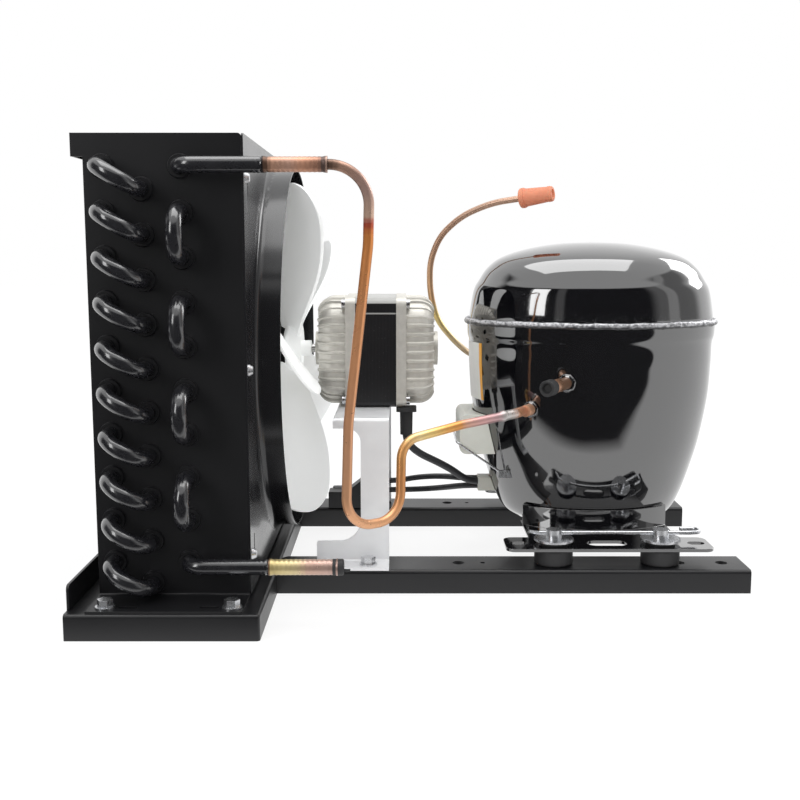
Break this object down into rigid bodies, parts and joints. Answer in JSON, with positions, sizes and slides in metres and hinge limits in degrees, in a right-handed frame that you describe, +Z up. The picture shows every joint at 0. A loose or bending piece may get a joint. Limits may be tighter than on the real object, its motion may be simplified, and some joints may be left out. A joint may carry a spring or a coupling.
{
  "type": "refrigeration condensing unit",
  "caption": "Air-cooled refrigeration condensing unit: finned condenser with shrouded fan and motor beside a hermetic compressor on channel rails.",
  "frame": {"origin": "on the floor, under the middle of the whole unit", "axes": "+X from the condenser to the compressor, +Y away from the side with the return bends, the inlet and the outlet, +Z up"},
  "size_m": [0.416, 0.3758, 0.284],
  "materials": {
    "frame_black": "satin",
    "fin_black": "matte",
    "tube_black": "semi-gloss",
    "gloss_black": "gloss",
    "zinc": "zinc plated",
    "steel": "satin",
    "copper": "drawn copper, heat tinted near the brazed joints",
    "cast_aluminium": "die cast",
    "lamination": "satin",
    "winding": "varnished wire",
    "galvanised": "galvanised",
    "black_rubber": "matte",
    "orange_rubber": "matte",
    "black_plastic": "moulded",
    "cover_plastic": "moulded",
    "fan_white": "moulded",
    "weld": "rough bead",
    "lead_rubber": "matte",
    "cast_iron": "as cast"
  },
  "bodies": {
    "unit": {"condenser_tray": "frame_black", "front_rail": "frame_black", "rear_rail": "frame_black", "rail_rivets": "zinc", "front_end_plate": "frame_black", "rear_end_plate": "frame_black", "end_plate_bolts": "zinc", "coil_top_cover": "frame_black", "fin_pack": "fin_black", "hairpin_tubes": "tube_black", "return_bends": "tube_black", "inlet_pipe": "tube_black", "inlet_connector": "copper", "outlet_pipe": "tube_black", "outlet_connector": "copper", "fan_shroud": "frame_black", "shroud_screws": "zinc", "motor_bearings": "steel", "motor_stator": "lamination", "motor_windings": "winding", "motor_front_shield": "cast_aluminium", "motor_rear_shield": "cast_aluminium", "motor_screws": "zinc", "motor_bracket": "galvanised", "bracket_bolts": "zinc", "motor_cable_boot": "black_rubber", "junction_block": "black_plastic", "compressor_lower_shell": "gloss_black", "compressor_upper_shell": "gloss_black", "compressor_weld_bead": "weld", "front_foot_plate": "gloss_black", "rear_foot_plate": "gloss_black", "grommets": "black_rubber", "foot_studs": "zinc", "foot_washers": "zinc", "wire_clips": "zinc", "suction_stub": "copper", "discharge_stub": "copper", "discharge_line": "copper", "process_tube": "copper", "terminal_cover": "cover_plastic", "start_relay": "black_plastic", "bail_eyelets": "zinc", "lead_clip": "cover_plastic", "motor_lead": "lead_rubber", "box_lead_upper": "lead_rubber", "box_lead_lower": "lead_rubber", "suspension_springs": "steel", "pump_stator": "lamination", "pump_rotor": "steel", "pump_block": "cast_iron", "pump_piston": "steel"},
    "fan": {"fan_impeller": "fan_white", "fan_nut": "zinc", "fan_shaft": "steel", "motor_rotor": "steel"},
    "suction_closure": {"suction_plug": "black_rubber"},
    "process_closure": {"process_plug": "orange_rubber"},
    "liquid_closure": {"outlet_cap": "black_rubber"},
    "bail": {"cover_bail": "zinc"}
  },
  "joints": [
    {"name": "fan_spin", "type": "hinge", "parent": "unit", "child": "fan", "pos_m": [-0.09, 0, 0.1494], "axis": [1, 0, 0], "continuous": true},
    {"name": "suction_plug_pull", "type": "slide", "parent": "unit", "child": "suction_closure", "axis": [-0.5, -0.866, 0], "range_m": [0, 0.03]},
    {"name": "process_plug_pull", "type": "slide", "parent": "unit", "child": "process_closure", "axis": [0.893, -0.4334, 0.1215], "range_m": [0, 0.03]},
    {"name": "outlet_cap_pull", "type": "slide", "parent": "unit", "child": "liquid_closure", "axis": [1, 0, 0], "range_m": [0, 0.03]},
    {"name": "bail_swing", "type": "hinge", "parent": "unit", "child": "bail", "pos_m": [0.05371, 0, 0.064], "axis": [0, 1, 0], "range_deg": [-20, 0]}
  ]
}
